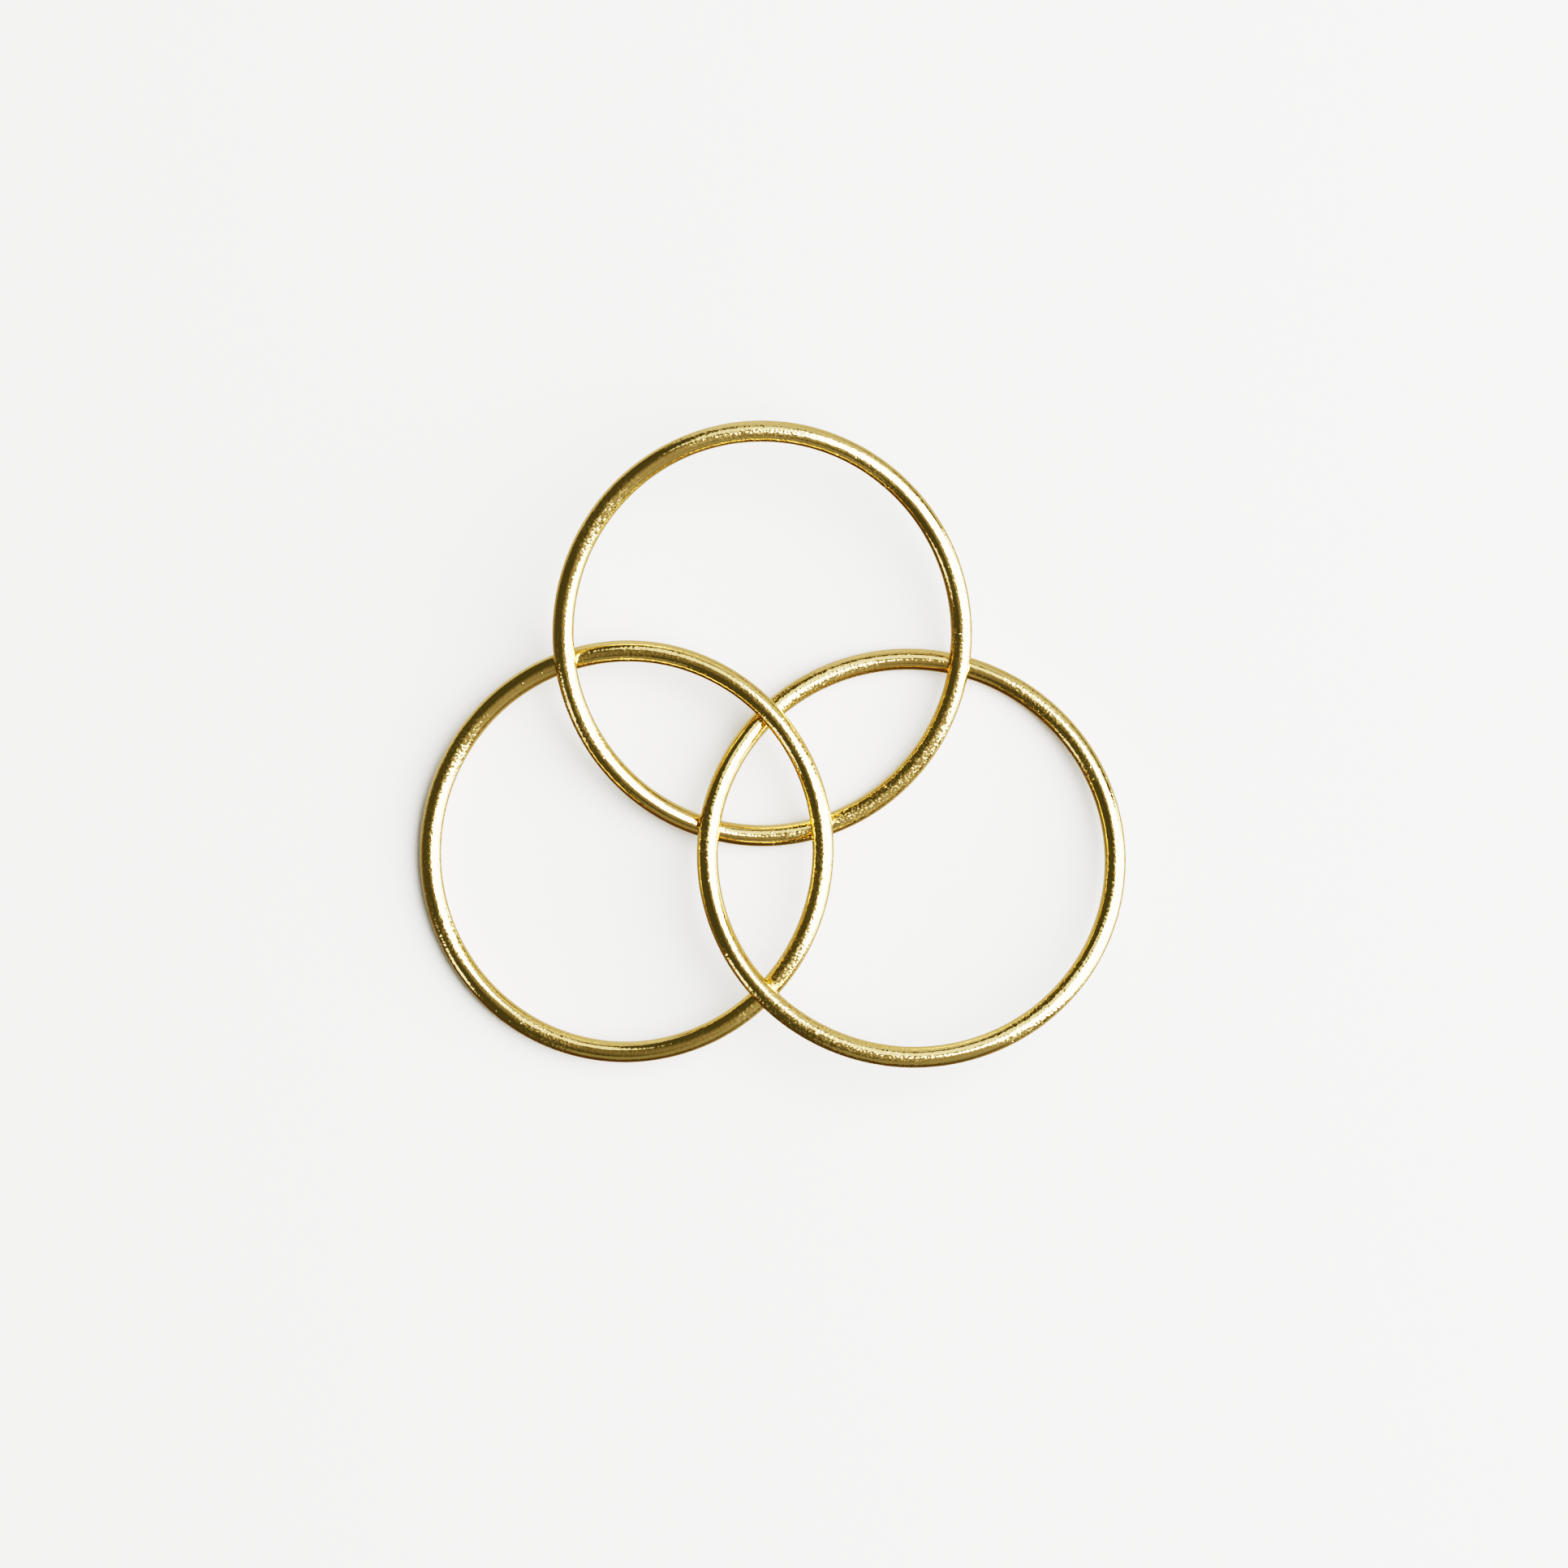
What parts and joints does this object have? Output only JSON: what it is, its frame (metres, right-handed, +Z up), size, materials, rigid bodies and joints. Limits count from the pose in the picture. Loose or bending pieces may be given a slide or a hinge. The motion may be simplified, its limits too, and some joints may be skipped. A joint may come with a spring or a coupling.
{
  "type": "triple band ring",
  "caption": "Rolling finger ring of thin round-wire gold bands, each linked loosely through the others, lying fanned out on a flat surface.",
  "frame": {"origin": "on the surface that the bands lie on, under the middle of the box round them", "axes": "+X to the right and +Y away from the viewer as the picture looks down on the ring, +Z up from the surface"},
  "size_m": [0.0331, 0.0302, 0.0047],
  "materials": {
    "gold": "polished yellow gold"
  },
  "bodies": {
    "root": {"band_top": "gold", "band_left": "gold", "band_right": "gold"}
  },
  "joints": []
}
